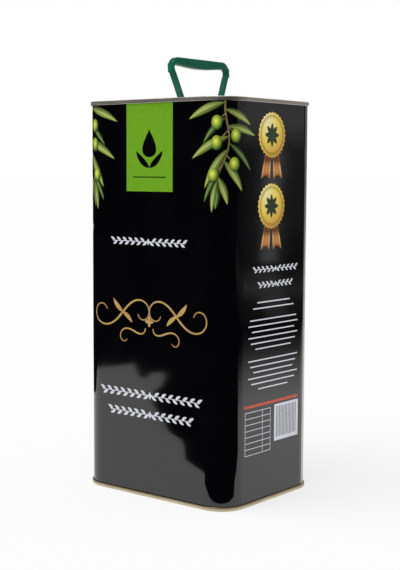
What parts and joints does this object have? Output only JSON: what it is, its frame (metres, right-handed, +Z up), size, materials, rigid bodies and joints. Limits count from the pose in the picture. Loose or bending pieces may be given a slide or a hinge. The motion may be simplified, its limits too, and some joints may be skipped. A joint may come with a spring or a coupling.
{
  "type": "oil tin",
  "caption": "Tall rectangular tinplate oil tin with rounded corners, double seamed ends, a folding plastic carrying handle and a pull-up pouring spout with a screw cap.",
  "frame": {"origin": "on the floor, under the middle of the tin", "axes": "+Z up, X along the wide faces with the spout towards -X, -Y the front face of the picture"},
  "size_m": [0.1528, 0.1204, 0.349],
  "materials": {
    "printed_tinplate": "black gloss print with a lime panel and gold seals",
    "bare_tinplate": "bare bright tinplate",
    "gold_lacquer": "clear gold lacquer on tinplate",
    "sealing_compound": "matt",
    "lug_steel": "tinned steel strip",
    "handle_plastic": "dark green, satin gloss",
    "gasket_rubber": "matt",
    "spout_plastic": "natural white, slightly waxy",
    "crimp_steel": "tinned steel",
    "cap_plastic": "dark green, satin gloss",
    "liner_foam": "fine closed foam"
  },
  "bodies": {
    "tin": {"body_shell": "printed_tinplate", "top_end": "bare_tinplate", "bottom_end": "gold_lacquer", "top_seam_compound": "sealing_compound", "bottom_seam_compound": "sealing_compound", "handle_lug_front": "lug_steel", "handle_lug_back": "lug_steel", "neck_gasket": "gasket_rubber", "spout_flange": "spout_plastic", "crimp_ring": "crimp_steel", "spout_web": "spout_plastic"},
    "handle": {"carry_handle": "handle_plastic"},
    "spout": {"spout_nozzle": "spout_plastic", "tamper_band": "cap_plastic"},
    "liner": {"cap_liner": "liner_foam"},
    "cap": {"spout_cap": "cap_plastic"},
    "bail_left": {"pull_bail_left": "cap_plastic"},
    "bail_right": {"pull_bail_right": "cap_plastic"}
  },
  "joints": [
    {"name": "handle_fold", "type": "hinge", "parent": "tin", "child": "handle", "pos_m": [0.0018, 0, 0.3127], "axis": [0, 1, 0], "range_deg": [-34, 88]},
    {"name": "spout_pull", "type": "slide", "parent": "tin", "child": "spout", "axis": [0, 0, 1], "range_m": [0, 0.032], "deforming": ["spout_web"]},
    {"name": "cap_rise", "type": "slide", "parent": "spout", "child": "liner", "axis": [0, 0, 1], "range_m": [0, 0.0084]},
    {"name": "cap_turn", "type": "hinge", "parent": "liner", "child": "cap", "pos_m": [-0.042, 0, 0.3], "axis": [0, 0, 1], "range_deg": [0, 750]},
    {"name": "bail_left_lift", "type": "hinge", "parent": "cap", "child": "bail_left", "pos_m": [-0.0433, 0, 0.3127], "axis": [0, 1, 0], "range_deg": [0, 90]},
    {"name": "bail_right_lift", "type": "hinge", "parent": "cap", "child": "bail_right", "pos_m": [-0.0407, 0, 0.3127], "axis": [0, -1, 0], "range_deg": [0, 90]}
  ],
  "couplings": [
    {"joint": "cap_rise", "follows": "cap_turn", "m_per_rad": 0.00063662}
  ]
}
